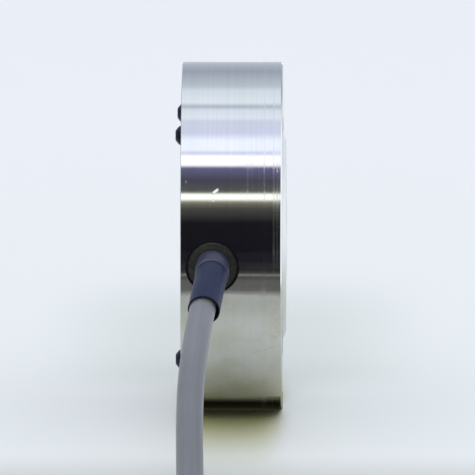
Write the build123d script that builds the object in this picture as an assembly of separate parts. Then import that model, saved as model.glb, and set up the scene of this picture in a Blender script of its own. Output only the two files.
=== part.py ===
"""A wheel-shaped tension and compression load cell, standing on its rim, with its signal cable.

Millimetres. X is the loading axis, with the ring's front face at X = 0 facing +X and the boss
standing out of it. The cable leaves towards -Y and Z is up. Angles round the axis are counted
from the cable exit, upwards.
"""

import os
from math import cos, pi, radians, sin, tan

from build123d import *

# Body: hub and spokes
thread_radius = 7.25  # tapping hole of an M16 x 1.5 thread
thread_mouth = 0.8
hub_radius = 15.4
hub_end_step = 1.4  # the end that passes through the rear cover is slimmer by this
hub_end_recess = 0.4  # the hub's end lies this far inside the rear face
hub_step_depth = 1.9  # from the rear face to the step that carries the seal ring
boss_proud = 0.8  # the boss stands out of the ring's front face by this
boss_gap = 1.0  # from the boss to the ring's inner wall
boss_slope_width = 2.2  # the boss's flank is a shallow cone
flange_thickness = 3.8
lip_width = 0.5  # step on the boss that carries the membrane
spoke_length = 9.6  # from the hub to the ring's inner wall
spoke_width = 7.0
spoke_flange_gap = 0.8
spoke_board_gap = 0.5
spoke_root = 1.5  # how far a spoke runs into the hub and the ring
spoke_count = 6
spoke_fillet = 1.0
gauge_pocket_radius = 3.5
gauge_web = 2.0

# Body: outer ring
ring_width = 23.0
ledge_width = 3.0  # carries the terminal board
shoulder_width = 4.4  # carries the rear cover
rim_land = 7.6  # outside the rear cover
front_chamfer = 0.3
rear_chamfer = 0.12
throat_step = 1.2  # the ring's inner wall steps out by this round the hub's flange
recess_depth = 2.0  # of the rear cover's recess
ledge_depth = 5.3  # from the rear face to the ledge under the board

# Body: holes
fixing_inset = 3.6  # from the rear cover's recess to the holes' circle
fixing_hole_radius = 2.25
fixing_mouth = 0.3
screw_inset = 2.4  # from the recess wall to the cover screws' circle
screw_radius = 1.25  # M2.5
screw_hole_depth = 6.0
cover_hole_radius = 1.45
screw_places = (60, 120, 240, 300)
screws_fitted = (60, 120, 300)  # the place at 240 is empty
board_screw_places = (90, 210, 330)
board_screw_inset = 1.6  # from the wall round the board
board_screw_radius = 0.8
board_hole_radius = 1.0
board_screw_depth = 4.0
board_screw_end_gap = 0.5
overcut = 1.0  # how far a cutter reaches past a face

# Front membrane
membrane_depth = 1.0  # its seat lies this far behind the ring's front face
membrane_thickness = 0.3
membrane_seat_width = 2.5  # on the ring
membrane_bead_width = 1.3
membrane_bead_height = 0.5
seat_gap = 0.05  # clearance round pieces that drop into a seat

# Rear cover and its seals
cover_thickness = 1.5
cover_gap = 1.0  # round the hub's end
cover_chamfer = 0.25
gasket_inset = 0.2
seal_ring_height = 1.0
head_radius = 2.3
head_height = 1.45
head_flat_radius = 1.15
head_rim = 0.3
head_shoulder_radius = 1.95
head_shoulder_height = 0.95
head_socket = 1.5
head_socket_depth = 0.8
screw_length = 5.5

# Cable fitting in the rim
exit_from_rear = 7.3  # cable axis, from the rear face
cable_radius = 3.0
fitting_bore_radius = 6.1
fitting_bore_depth = 1.95
fitting_flange_radius = 5.6
fitting_flange_thickness = 1.5
fitting_thread_radius = 4.5
fitting_thread_length = 5.0
fitting_stub_radius = 3.4
fitting_stub_reach = 6.0  # past the rim
fitting_edge = 0.2
fitting_seal_height = 1.0
cable_clearance = 0.05

# Shrink sleeve over the stub and the cable
sleeve_wall = 0.38
sleeve_base_wall = 0.62
sleeve_slack = 0.2  # between cable and sleeve
sleeve_collar_past_stub = 3.7  # its wide start reaches past the stub by this
sleeve_taper = 1.8
sleeve_overlap = 1.0  # of the straight start and the bent rest
sleeve_past_stub = 23.2

# Terminal board and what it carries
board_hub_gap = 1.6
board_edge_gap = 0.3
board_thickness = 1.0
board_opening = 32.0  # degrees left free for the cable
resistor_size = (0.6, 1.6, 3.2)
resistor_places = (75, 105, 180, 255, 285)
pad_places = (36, 24, -24, -36)
joint_radius = 0.9
joint_height = 1.1
small_head_radius = 1.5
small_head_height = 0.8

# Gauges and their leads
gauge_size = (5.0, 4.0, 0.1)
lead_width = 0.8
lead_thickness = 0.15
lead_gap = 0.3  # ribbon to spoke
lead_offset = 1.5

# Cable inside the body
inner_end_gap = 1.2  # from the pull stop's middle to the jacket's end
core_radius = 0.55
core_ring = 1.3
core_bend = 1.2
core_turns = ((3.4, 4.2), (1.9, 3.2))  # outer and inner pair: run before the bend, height over the axis
tie_depth = 2.3  # from the ring's inner wall to the pull stop's middle
tie_width = 2.2
tie_wall = 0.8
tie_head = 2.6
tie_head_sink = 0.5  # how far the head runs into the band

# Free cable: points as (X from the fitting's axis, distance past its stub, height), chosen by hand
cable_route = [
    (0.0, 0.0, 0.0),
    (0.0, 6.0, 0.0),
    (-0.8, 14.0, -1.8),
    (-1.9, 24.0, -5.0),
    (-3.2, 36.0, -9.4),
    (-4.1, 50.0, -15.2),
    (-4.2, 65.0, -21.6),
    (-3.9, 81.0, -27.9),
    (-3.5, 97.0, -33.3),
    (-3.4, 111.0, -36.4),
    (-3.8, 124.0, -36.4),
    (-3.8, 135.6, -36.4),
]
bend_share = 0.45

# Put-away hank: an oval coil of two columns and three layers
hank_leg = 52.1
hank_fold_radius = 18.6  # inner column
hank_columns = 2
hank_lower_layers = 2
hank_entry = 20.0  # straight lead before the first fold is reached
hank_last_bit = 10.0
hank_tie_wall = 0.6
hank_tie_width = 4.0
hank_tie_head = (5.0, 4.5, 3.2)
end_stub = 3.0

# Free end of the cable
end_sleeve_radius = 3.4
end_sleeve_length = 12.0
end_sleeve_taper = 3.0
end_sleeve_step = 0.7  # slimmer by this where the cores come out
end_core_radius = 0.62
end_core_length = 22.0
end_core_pitch = 1.35
end_core_ring = 1.9
end_core_angles = (-108, -36, 180, 36, 108)
end_core_straight = 2.5
end_core_fan = 8.5
end_core_wave = -0.25
tip_radius = 0.45
tip_length = 5.0

# Places worked out from the sizes
pocket_radius = hub_radius + spoke_length
land_radius = pocket_radius + ledge_width
recess_radius = land_radius + shoulder_width
rim_radius = recess_radius + rim_land
boss_radius = pocket_radius - boss_gap
boss_top_radius = boss_radius - boss_slope_width
lip_radius = boss_radius + lip_width
throat_radius = pocket_radius + throat_step
hub_end_radius = hub_radius - hub_end_step
spoke_middle = (hub_radius + pocket_radius) / 2
fixing_pitch_radius = recess_radius + fixing_inset
screw_pitch_radius = recess_radius - screw_inset
board_screw_pitch = land_radius - board_screw_inset
board_inner_radius = hub_radius + board_hub_gap
board_outer_radius = land_radius - board_edge_gap
pad_radius = (board_inner_radius + board_outer_radius) / 2
cover_inner_radius = hub_end_radius + cover_gap
membrane_outer_radius = pocket_radius + membrane_seat_width
membrane_bead_radius = (lip_radius + throat_radius) / 2
face_front = 0.0
face_boss = face_front + boss_proud
face_rear = face_front - ring_width
recess_x = face_rear + recess_depth
ledge_x = face_rear + ledge_depth
hub_end_x = face_rear + hub_end_recess
hub_step_x = face_rear + hub_step_depth
membrane_x = face_front - membrane_depth
flange_x = face_boss - flange_thickness
spoke_front_x = flange_x - spoke_flange_gap
spoke_rear_x = ledge_x + spoke_board_gap
cover_inside_x = face_rear + cover_thickness
board_rear_x = ledge_x - board_thickness
gauge_x = (spoke_front_x + spoke_rear_x) / 2
exit_x = face_rear + exit_from_rear
fixing_places = [360 / spoke_count * (k + 0.5) for k in range(spoke_count)]
pitch = 2 * cable_radius
floor_z = -rim_radius
hank_z = floor_z + hank_tie_wall
fitting_floor = rim_radius - fitting_bore_depth
flange_face = fitting_floor + fitting_flange_thickness
fitting_thread_end = fitting_floor - fitting_thread_length
fitting_stub_end = rim_radius + fitting_stub_reach
cable_bore_radius = cable_radius + 2 * cable_clearance
tie_place = pocket_radius - tie_depth
inner_end = tie_place - inner_end_gap
hank_outer_radius = hank_fold_radius + (hank_columns - 1) * pitch
hank_x = exit_x + cable_route[-1][0] + hank_outer_radius
hank_near = fitting_stub_end + cable_route[-1][1] + hank_entry  # centre of the near folds
hank_far = hank_near + hank_leg
shelf_z = hank_z + hank_lower_layers * pitch
tail_x = hank_x + hank_outer_radius - cable_radius - end_sleeve_radius
tail_z = shelf_z + end_sleeve_radius
tail_start = hank_far - hank_last_bit
tail_end = tail_start - end_stub  # where the wound cable ends and its sleeve begins


def turned(points):
    """Solid of revolution about X from an outline of (x, radius) points."""
    return revolve(make_face(Polyline(points, close=True)), Axis.X)


def rod_x(radius, low, high, pitch_radius=0.0):
    """Round bar along X, at the cable exit's angle."""
    return Pos((low + high) / 2, -pitch_radius, 0) * Rot(0, 90, 0) * Cylinder(radius, high - low)


def tube_x(outer, inner, low, high):
    """Round ring along X."""
    return rod_x(outer, low, high) - rod_x(inner, low - overcut, high + overcut)


def around(shape, places):
    """Copies of a shape made at the cable exit, turned to other angles."""
    return [Rot(-angle, 0, 0) * shape for angle in places]


def at_exit(shape):
    """Moves a shape turned about X to the cable axis, its +X pointing out of the rim."""
    return Pos(exit_x, 0, 0) * Rot(0, 0, -90) * shape


def polar(radius, angle):
    """Y and Z of a point at an angle from the cable exit."""
    return -radius * cos(radians(angle)), radius * sin(radians(angle))


# Body


def ring_blank():
    return turned(
        [
            (face_front, rim_radius - front_chamfer),
            (face_front, membrane_outer_radius),
            (membrane_x, membrane_outer_radius),
            (membrane_x, throat_radius),
            (flange_x, throat_radius),
            (flange_x, pocket_radius),
            (ledge_x, pocket_radius),
            (ledge_x, land_radius),
            (recess_x, land_radius),
            (recess_x, recess_radius),
            (face_rear, recess_radius),
            (face_rear, rim_radius - rear_chamfer),
            (face_rear + rear_chamfer, rim_radius),
            (face_front - front_chamfer, rim_radius),
        ]
    )


def hub_blank():
    return turned(
        [
            (face_boss, thread_radius + thread_mouth),
            (face_boss, boss_top_radius),
            (face_front, boss_radius),
            (membrane_x, boss_radius),
            (membrane_x, lip_radius),
            (flange_x, lip_radius),
            (flange_x, hub_radius),
            (hub_step_x, hub_radius),
            (hub_step_x, hub_end_radius),
            (hub_end_x, hub_end_radius),
            (hub_end_x, thread_radius + thread_mouth),
            (hub_end_x + thread_mouth, thread_radius),
            (face_boss - thread_mouth, thread_radius),
        ]
    )


def spoke():
    """One shear beam, running into the hub and the ring."""
    inner = hub_radius - spoke_root
    outer = pocket_radius + spoke_root
    length = spoke_front_x - spoke_rear_x
    beam = Box(length, outer - inner, spoke_width)
    return Pos(spoke_rear_x + length / 2, -(inner + outer) / 2, 0) * beam


def gauge_recesses():
    """The two blind recesses that leave a thin web for the gauges."""
    depth = spoke_width / 2
    cut = Pos(gauge_x, -spoke_middle, gauge_web / 2 + depth / 2) * Cylinder(gauge_pocket_radius, depth)
    return [cut, mirror(cut, Plane.XY)]


def fixing_hole():
    """Through hole for a mounting screw, with a broken edge at both faces."""
    reach = fixing_hole_radius + fixing_mouth
    outline = [
        (face_front + overcut, 0),
        (face_front + overcut, reach),
        (face_front, reach),
        (face_front - fixing_mouth, fixing_hole_radius),
        (face_rear + fixing_mouth, fixing_hole_radius),
        (face_rear, reach),
        (face_rear - overcut, reach),
        (face_rear - overcut, 0),
    ]
    return Pos(0, -fixing_pitch_radius, 0) * turned(outline)


def exit_bore():
    """Stepped bore in the rim for the cable fitting."""
    steps = [
        (spoke_middle, 0),
        (spoke_middle, cable_bore_radius),
        (fitting_thread_end, cable_bore_radius),
        (fitting_thread_end, fitting_thread_radius),
        (fitting_floor, fitting_thread_radius),
        (fitting_floor, fitting_bore_radius),
        (rim_radius + overcut, fitting_bore_radius),
        (rim_radius + overcut, 0),
    ]
    return at_exit(turned(steps))


def sensor_body():
    beams = around(spoke(), fixing_places)
    body = ring_blank() + hub_blank() + beams
    roots = [
        edge
        for edge in body.edges().filter_by(Axis.X)
        if abs(edge.length - (spoke_front_x - spoke_rear_x)) < 0.1
    ]
    body = fillet(roots, spoke_fillet)
    for recess in gauge_recesses():
        body -= around(recess, fixing_places)
    body -= around(fixing_hole(), fixing_places)
    screw_hole = rod_x(screw_radius, recess_x - overcut, recess_x + screw_hole_depth, screw_pitch_radius)
    body -= around(screw_hole, screw_places)
    board_hole_end = ledge_x + board_screw_depth
    board_hole = rod_x(board_screw_radius, ledge_x - overcut, board_hole_end, board_screw_pitch)
    body -= around(board_hole, board_screw_places)
    return body - exit_bore()


def front_membrane():
    """Thin ring with one rolled bead that bulges outwards."""
    inner = boss_radius + seat_gap
    outer = membrane_outer_radius - seat_gap
    front = membrane_x + membrane_thickness
    left = membrane_bead_radius - membrane_bead_width / 2
    right = membrane_bead_radius + membrane_bead_width / 2
    slope = membrane_thickness
    outline = [
        (membrane_x, inner),
        (front, inner),
        (front, left),
        (front + membrane_bead_height, left + slope),
        (front + membrane_bead_height, right - slope),
        (front, right),
        (front, outer),
        (membrane_x, outer),
        (membrane_x, right),
        (membrane_x + membrane_bead_height, right - slope),
        (membrane_x + membrane_bead_height, left + slope),
        (membrane_x, left),
    ]
    return turned(outline)


# Rear cover


def rear_cover():
    outer = recess_radius - seat_gap
    plate = turned(
        [
            (cover_inside_x, cover_inner_radius),
            (face_rear, cover_inner_radius),
            (face_rear, outer - cover_chamfer),
            (face_rear + cover_chamfer, outer),
            (cover_inside_x, outer),
        ]
    )
    hole = rod_x(cover_hole_radius, face_rear - overcut, cover_inside_x + overcut, screw_pitch_radius)
    return plate - around(hole, screw_places)


def cover_gasket():
    sheet = tube_x(recess_radius - seat_gap, land_radius + gasket_inset, cover_inside_x, recess_x)
    hole = rod_x(cover_hole_radius, cover_inside_x - overcut, recess_x + overcut, screw_pitch_radius)
    return sheet - around(hole, screw_places)


def hub_seal_ring():
    """Square rubber ring between the hub's end and the cover's inner edge."""
    outer = cover_inner_radius - seat_gap / 2
    inner = hub_end_radius + seat_gap / 2
    return tube_x(outer, inner, hub_step_x - seal_ring_height, hub_step_x)


def button_screw():
    """Button-head screw, its head's seat at X = 0 and its shank towards +X."""
    blank = turned(
        [
            (-head_height, 0),
            (-head_height, head_flat_radius),
            (-head_shoulder_height, head_shoulder_radius),
            (-head_rim, head_radius),
            (0, head_radius),
            (0, screw_radius - seat_gap),
            (screw_length, screw_radius - seat_gap),
            (screw_length, 0),
        ]
    )
    hexagon = Plane.YZ * RegularPolygon(head_socket / 2, 6, major_radius=False)
    mouth = Pos(-head_height - overcut, 0, 0) * hexagon
    socket = extrude(mouth, head_socket_depth + overcut, dir=(1, 0, 0))
    return blank - socket


def cover_screws():
    screw = Pos(face_rear, -screw_pitch_radius, 0) * button_screw()
    return Compound(children=around(screw, screws_fitted))


# Cable fitting and sleeve


def gland_body():
    """Threaded fitting with a flange in the rim's recess and a stub for the sleeve."""
    bore = cable_radius + cable_clearance
    thread = fitting_thread_radius - cable_clearance
    inside = fitting_thread_end + cable_clearance
    outline = [
        (inside, bore),
        (inside, thread),
        (fitting_floor, thread),
        (fitting_floor, fitting_flange_radius),
        (flange_face - fitting_edge, fitting_flange_radius),
        (flange_face, fitting_flange_radius - fitting_edge),
        (flange_face, fitting_stub_radius),
        (fitting_stub_end - fitting_edge, fitting_stub_radius),
        (fitting_stub_end, fitting_stub_radius - fitting_edge),
        (fitting_stub_end, bore),
    ]
    return at_exit(turned(outline))


def gland_seal():
    """Black ring that closes the gap round the fitting's flange."""
    inner = fitting_flange_radius + seat_gap / 2
    outer = fitting_bore_radius - seat_gap / 2
    return at_exit(tube_x(outer, inner, fitting_floor, fitting_floor + fitting_seal_height))


def in_frame(point):
    """A route point in the part's own axes."""
    across, past_stub, height = point
    return Vector(exit_x + across, -fitting_stub_end - past_stub, height)


def bend_radii(points):
    """Largest arc that two runs leave room for, at each inner point of a route."""
    radii = []
    for before, corner, after in zip(points, points[1:], points[2:]):
        turn = radians((corner - before).get_angle(after - corner))
        shorter = min((corner - before).length, (after - corner).length)
        radii.append(bend_share * shorter / tan(turn / 2))
    return radii


def bent_path(points, radii=None):
    """Straight runs joined by tangent arcs."""
    return FilletPolyline(*points, radius=radii or bend_radii(points))


def swept(section_radius, path):
    """Round bar along a path of lines and arcs."""
    start = Plane(path @ 0, z_dir=path % 0)
    return sweep(start * Circle(section_radius), path=path)


route = [in_frame(point) for point in cable_route]
route_radii = bend_radii(route)
cable_path = bent_path(route, route_radii)


def sleeve_path():
    """The first stretch of the cable's path, cut off where the sleeve ends."""
    first, corner, second, third = route[:4]
    rest = sleeve_past_stub - (corner - first).length - (second - corner).length
    end = second + (third - second).normalized() * rest
    return bent_path([first, corner, second, end], route_radii[:2])


def cable_sleeve():
    """Shrink sleeve, wider over the stub, then close round the cable."""
    path = sleeve_path()
    base = fitting_stub_radius + seat_gap
    wide = base + sleeve_base_wall
    bore = cable_radius + sleeve_slack
    narrow = bore + sleeve_wall
    collar_end = fitting_stub_end + sleeve_collar_past_stub
    straight_end = collar_end + sleeve_taper + sleeve_overlap
    neck_start = fitting_stub_end + seat_gap
    outer = turned(
        [
            (flange_face, 0),
            (flange_face, wide),
            (collar_end, wide),
            (collar_end + sleeve_taper, narrow),
            (straight_end, narrow),
            (straight_end, 0),
        ]
    )
    inner = turned(
        [
            (flange_face - overcut, 0),
            (flange_face - overcut, base),
            (neck_start, base),
            (neck_start + sleeve_taper / 2, bore),
            (straight_end - sleeve_overlap / 2, bore),
            (straight_end - sleeve_overlap / 2, 0),
        ]
    )
    shell = at_exit(outer) + swept(narrow, path)
    return shell - at_exit(inner) - swept(bore, path)


def cable_lead():
    return swept(cable_radius, cable_path)


# Inside the body


def terminal_board():
    """Ring-shaped board on the ledge, open towards the cable."""
    ring = tube_x(board_outer_radius, board_inner_radius, board_rear_x, ledge_x)
    reach = 2 * board_outer_radius
    half = board_opening / 2
    corner = polar(reach, half)
    wedge_outline = Polyline((0, 0), corner, polar(reach, -half), close=True)
    wedge = extrude(Plane.YZ * make_face(wedge_outline), 2 * ring_width, both=True)
    hole = rod_x(board_hole_radius, board_rear_x - overcut, ledge_x + overcut, board_screw_pitch)
    return ring - wedge - around(hole, board_screw_places)


def board_screws():
    head = rod_x(small_head_radius, board_rear_x - small_head_height, board_rear_x, board_screw_pitch)
    end = ledge_x + board_screw_depth - board_screw_end_gap
    shank = rod_x(board_screw_radius - seat_gap, board_rear_x, end, board_screw_pitch)
    return Compound(children=around(head + shank, board_screw_places))


def trim_resistors():
    thickness, wide, tall = resistor_size
    block = Pos(board_rear_x - thickness / 2, -pad_radius, 0) * Box(thickness, wide, tall)
    return Compound(children=around(block, resistor_places))


def solder_joints():
    joint = rod_x(joint_radius, board_rear_x - joint_height, board_rear_x, pad_radius)
    return Compound(children=around(joint, pad_places))


def strain_gauges():
    """Two foil gauges on each spoke's web."""
    long, wide, thick = gauge_size
    foil = Pos(gauge_x, -spoke_middle, gauge_web / 2 + thick / 2) * Box(long, wide, thick)
    pair = [foil, mirror(foil, Plane.XY)]
    return Compound(children=[piece for side in pair for piece in around(side, fixing_places)])


def gauge_leads():
    """Flat ribbon from each gauge, out of its recess and along the spoke to the board."""
    low = gauge_web / 2 + gauge_size[2]
    high = spoke_width / 2 + lead_gap + lead_thickness
    bend_x = gauge_x - lead_offset
    rise = Box(lead_thickness, lead_width, high - low)
    run_length = bend_x - ledge_x
    run = Box(run_length, lead_width, lead_thickness)
    ribbon = Pos(bend_x, -spoke_middle, (low + high) / 2) * rise
    ribbon += Pos(bend_x - run_length / 2, -spoke_middle, high - lead_thickness / 2) * run
    pair = [ribbon, mirror(ribbon, Plane.XY)]
    return Compound(children=[piece for side in pair for piece in around(side, fixing_places)])


def cable_inner():
    return at_exit(rod_x(cable_radius, inner_end, fitting_stub_end))


def cable_tie():
    """Pull stop: a tie drawn tight round the cable inside the pocket."""
    low = tie_place - tie_width / 2
    high = tie_place + tie_width / 2
    bore = cable_radius + cable_clearance / 2
    band = tube_x(bore + tie_wall, bore, low, high)
    head_z = bore + tie_wall - tie_head_sink + tie_head / 2
    head = Pos(tie_place, 0, head_z) * Box(tie_width, tie_head, tie_head)
    return at_exit(band + head)


def core_corner(index):
    """Place of one of the four cores in the cable's section, as (X offset, height)."""
    side = 1 if index < 2 else -1
    depth = 1 if index in (0, 3) else -1
    return depth * core_ring / 2, side * core_ring / 2


def inner_core(index):
    """Insulated core from the cable's end up to its pad on the board."""
    offset_x, offset_z = core_corner(index)
    above_board = board_rear_x - core_radius - seat_gap
    pad_y, pad_z = polar(pad_radius, pad_places[index])
    side = 1 if pad_z > 0 else -1
    stop = pad_z - side * (joint_radius + seat_gap)
    run, spread = core_turns[index in (1, 2)]
    turn_y = run - inner_end
    points = [
        Vector(exit_x + offset_x, -inner_end, offset_z),
        Vector(exit_x + offset_x, turn_y, offset_z),
        Vector(above_board, turn_y, side * spread),
        Vector(above_board, pad_y, stop),
    ]
    return swept(core_radius, bent_path(points, [core_bend, core_bend]))


# Hank and free end


def oval_ring(outer, inner, low, height):
    """Oval band lying flat, centred on the hank."""
    middle = -(hank_near + hank_far) / 2
    section = SlotCenterToCenter(hank_leg, 2 * outer, 90) - SlotCenterToCenter(hank_leg, 2 * inner, 90)
    return Pos(hank_x, middle, low) * extrude(section, height)


def cable_hank():
    """Outer shape of the wound cable, with its entry, and its end on the open top track."""
    outer = hank_outer_radius + cable_radius
    inner = hank_fold_radius - cable_radius
    split = hank_outer_radius - cable_radius
    lower = oval_ring(outer, inner, hank_z, hank_lower_layers * pitch)
    top = oval_ring(outer, split, shelf_z, pitch)
    track = oval_ring(split, inner, shelf_z, pitch)
    free_leg = Box(outer, tail_start - hank_near, 3 * pitch, align=(Align.MIN, Align.MAX, Align.CENTER))
    track -= Pos(hank_x, -hank_near, shelf_z) * free_leg
    near_fold = Box(4 * outer, 2 * outer, 3 * pitch, align=(Align.CENTER, Align.MIN, Align.CENTER))
    track -= Pos(hank_x, -hank_near, shelf_z) * near_fold
    entry = Pos(route[-1].X, -hank_near + hank_entry / 2, route[-1].Z) * Rot(90, 0, 0)
    stub = Pos(tail_x, -(tail_start + tail_end + overcut) / 2, tail_z) * Rot(90, 0, 0)
    solid = lower + top + track
    solid += entry * Cylinder(cable_radius, hank_entry)
    return solid + stub * Cylinder(cable_radius, end_stub + overcut)


def hank_tie(side, place):
    """Square tie round one leg of the hank, with its head on top."""
    width = hank_columns * pitch
    height = (hank_lower_layers + 1) * pitch
    centre_x = hank_x + side * (hank_outer_radius + hank_fold_radius) / 2
    centre_z = hank_z + height / 2
    gap = 2 * seat_gap
    outer = Box(width + gap + 2 * hank_tie_wall, hank_tie_width, height + 2 * hank_tie_wall)
    band = outer - Box(width + gap, 2 * hank_tie_width, height)
    head = Pos(0, 0, height / 2 + hank_tie_wall + hank_tie_head[2] / 2) * Box(*hank_tie_head)
    return Pos(centre_x, -place, centre_z) * (band + head)


def hank_ties():
    middle = (hank_near + hank_far) / 2
    return Compound(children=[hank_tie(-1, middle), hank_tie(1, hank_far - hank_last_bit / 2)])


def end_sleeve():
    """Short shrink sleeve on the cable's free end, slimmer where the cores come out."""
    slim = end_sleeve_radius - end_sleeve_step
    outline = [
        (0, 0),
        (0, end_sleeve_radius),
        (end_sleeve_length - end_sleeve_taper, end_sleeve_radius),
        (end_sleeve_length, slim),
        (end_sleeve_length, 0),
    ]
    return Pos(tail_x, -tail_end, tail_z) * Rot(0, 0, 90) * turned(outline)


def end_core(index):
    """One free core, drooping from the sleeve onto the hank and lying in its own lane."""
    start_y = end_sleeve_length - tail_end
    lane_x = tail_x + (index - 2) * end_core_pitch
    angle = radians(end_core_angles[index])
    start_x = tail_x + end_core_ring * sin(angle)
    start_z = tail_z + end_core_ring * cos(angle)
    lie_z = shelf_z + end_core_radius
    return [
        Vector(start_x, start_y, start_z),
        Vector(start_x, start_y + end_core_straight, start_z),
        Vector(lane_x, start_y + end_core_fan, lie_z),
        Vector(lane_x + end_core_wave, start_y + (end_core_fan + end_core_length) / 2, lie_z),
        Vector(lane_x, start_y + end_core_length, lie_z),
    ]


def end_core_solid(index):
    return swept(end_core_radius, bent_path(end_core(index)))


def core_tips():
    """Bare tinned ends, in line with their cores."""
    tips = []
    for index in range(5):
        *_, before, last = end_core(index)
        direction = (last - before).normalized()
        plane = Plane(last, z_dir=direction)
        tips.append(extrude(plane * Circle(tip_radius), tip_length))
    return Compound(children=tips)


core_names = ["red", "black", "green", "white"]

parts = {
    "sensor_body": sensor_body(),
    "front_membrane": front_membrane(),
    "rear_cover": rear_cover(),
    "cover_gasket": cover_gasket(),
    "hub_seal_ring": hub_seal_ring(),
    "cover_screws": cover_screws(),
    "gland_body": gland_body(),
    "gland_seal": gland_seal(),
    "cable_sleeve": cable_sleeve(),
    "bridge_board": terminal_board(),
    "board_screws": board_screws(),
    "trim_resistors": trim_resistors(),
    "solder_joints": solder_joints(),
    "strain_gauges": strain_gauges(),
    "gauge_leads": gauge_leads(),
    "cable_inner": cable_inner(),
    "cable_tie": cable_tie(),
    "cable_lead": cable_lead(),
    "cable_hank": cable_hank(),
    "hank_ties": hank_ties(),
    "end_sleeve": end_sleeve(),
    "shield_drain": end_core_solid(4),
    "core_tips": core_tips(),
}
for number, name in enumerate(core_names):
    parts[f"inner_core_{name}"] = inner_core(number)
    parts[f"lead_core_{name}"] = end_core_solid(number)

os.makedirs("parts", exist_ok=True)
for name, shape in parts.items():
    export_step(shape, f"parts/{name}.step")

print("cable arcs, mm:", [round(radius, 1) for radius in route_radii])
section_length = pi * cable_radius**2 * cable_path.length
print("cable volume over section x length:", round(parts["cable_lead"].volume / section_length, 4))
print("cable length, mm:", round(cable_path.length, 1))
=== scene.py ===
from math import cos, pi, radians, sin, sqrt

import bmesh
import bpy
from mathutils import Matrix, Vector


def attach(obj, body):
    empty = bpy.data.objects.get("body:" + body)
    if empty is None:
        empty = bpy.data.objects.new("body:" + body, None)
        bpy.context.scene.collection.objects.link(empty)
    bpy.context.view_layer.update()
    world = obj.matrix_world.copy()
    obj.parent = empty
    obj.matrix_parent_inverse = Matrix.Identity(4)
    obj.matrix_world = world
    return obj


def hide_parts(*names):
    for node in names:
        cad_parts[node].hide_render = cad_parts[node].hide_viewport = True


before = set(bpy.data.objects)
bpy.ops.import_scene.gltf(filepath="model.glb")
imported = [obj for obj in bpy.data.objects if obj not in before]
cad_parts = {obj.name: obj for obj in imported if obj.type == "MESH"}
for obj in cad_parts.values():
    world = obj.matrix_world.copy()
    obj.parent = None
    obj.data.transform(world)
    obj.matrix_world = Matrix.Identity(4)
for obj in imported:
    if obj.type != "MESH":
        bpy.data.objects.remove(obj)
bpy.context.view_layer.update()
mm = 0.001
print("load cell: frame loaded,", len(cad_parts), "nodes")


# A socket that can be used in sums
class Signal:
    def __init__(self, graph, socket):
        self.graph = graph
        self.socket = socket

    def calc(self, operation, other=0.0, swapped=False):
        pair = (other, self) if swapped else (self, other)
        return self.graph.add("ShaderNodeMath", {"operation": operation}, pair)

    def __add__(self, other):
        return self.calc("ADD", other)

    __radd__ = __add__

    def __sub__(self, other):
        return self.calc("SUBTRACT", other)

    def __rsub__(self, other):
        return self.calc("SUBTRACT", other, True)

    def __mul__(self, other):
        return self.calc("MULTIPLY", other)

    __rmul__ = __mul__

    def __truediv__(self, other):
        return self.calc("DIVIDE", other)

    def __rtruediv__(self, other):
        return self.calc("DIVIDE", other, True)

    def __abs__(self):
        return self.calc("ABSOLUTE")

    def clamped(self):
        return self.calc("MAXIMUM", 0.0).calc("MINIMUM", 1.0)

    # 0 at low, 1 at high, smooth between; low may be the larger one
    def step(self, low, high):
        values = {"Value": self, "From Min": min(low, high), "From Max": max(low, high)}
        rising = self.graph.add("ShaderNodeMapRange", {"interpolation_type": "SMOOTHSTEP"}, values)
        return rising if low < high else 1.0 - rising

    # the same on a place, with both ends in millimetres
    def fade(self, low, high):
        return self.step(low * mm, high * mm)


class Graph:
    def __init__(self, tree):
        self.tree = tree
        tree.nodes.clear()

    # Adds a node: its settings first, then the values or links of its sockets
    def add(self, kind, settings=None, values=(), output=0):
        node = self.tree.nodes.new(kind)
        for key, value in (settings or {}).items():
            if key == "stops":
                self.fillRamp(node.color_ramp, value)
            else:
                setattr(node, key, value)
        for key, value in values.items() if isinstance(values, dict) else enumerate(values):
            self.feed(node.inputs[key], value)
        return Signal(self, node.outputs[output]) if node.outputs else None

    def feed(self, socket, value):
        if isinstance(value, list):
            for part in value:
                self.feed(socket, part)
        elif isinstance(value, Signal):
            self.tree.links.new(value.socket, socket)
        else:
            socket.default_value = (*value, 1.0) if socket.type == "RGBA" else value

    def fillRamp(self, ramp, stops):
        while len(ramp.elements) < len(stops):
            ramp.elements.new(1.0)
        for element, (place, colour) in zip(ramp.elements, stops):
            element.position = place
            element.color = (*colour, 1.0)

    # A colour ramp whose stops stand at real values
    def ramp(self, value, stops):
        low, high = stops[0][0], stops[-1][0]
        shares = [((place - low) / (high - low), level) for place, level in stops]
        return self.add("ShaderNodeValToRGB", {"stops": shares}, ((value - low) / (high - low),))

    def place(self):
        return self.add("ShaderNodeTexCoord", output="Object")

    def axes(self, vector):
        parts = self.add("ShaderNodeSeparateXYZ", None, (vector,))
        return [Signal(self, socket) for socket in parts.socket.node.outputs]

    def vector(self, x, y, z):
        return self.add("ShaderNodeCombineXYZ", None, (x, y, z))

    def noise(self, vector, scale, detail=3.0, roughness=0.6):
        values = {"Vector": vector, "Scale": scale, "Detail": detail, "Roughness": roughness}
        return self.add("ShaderNodeTexNoise", {"noise_dimensions": "3D"}, values)

    def mix(self, factor, first, second):
        return self.add("ShaderNodeMix", {"data_type": "RGBA"}, {0: factor, 6: first, 7: second}, 2)

    def bump(self, height, distance):
        return self.add("ShaderNodeBump", None, {"Height": height, "Distance": distance, "Strength": 1.0})


finishes = {}


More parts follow.
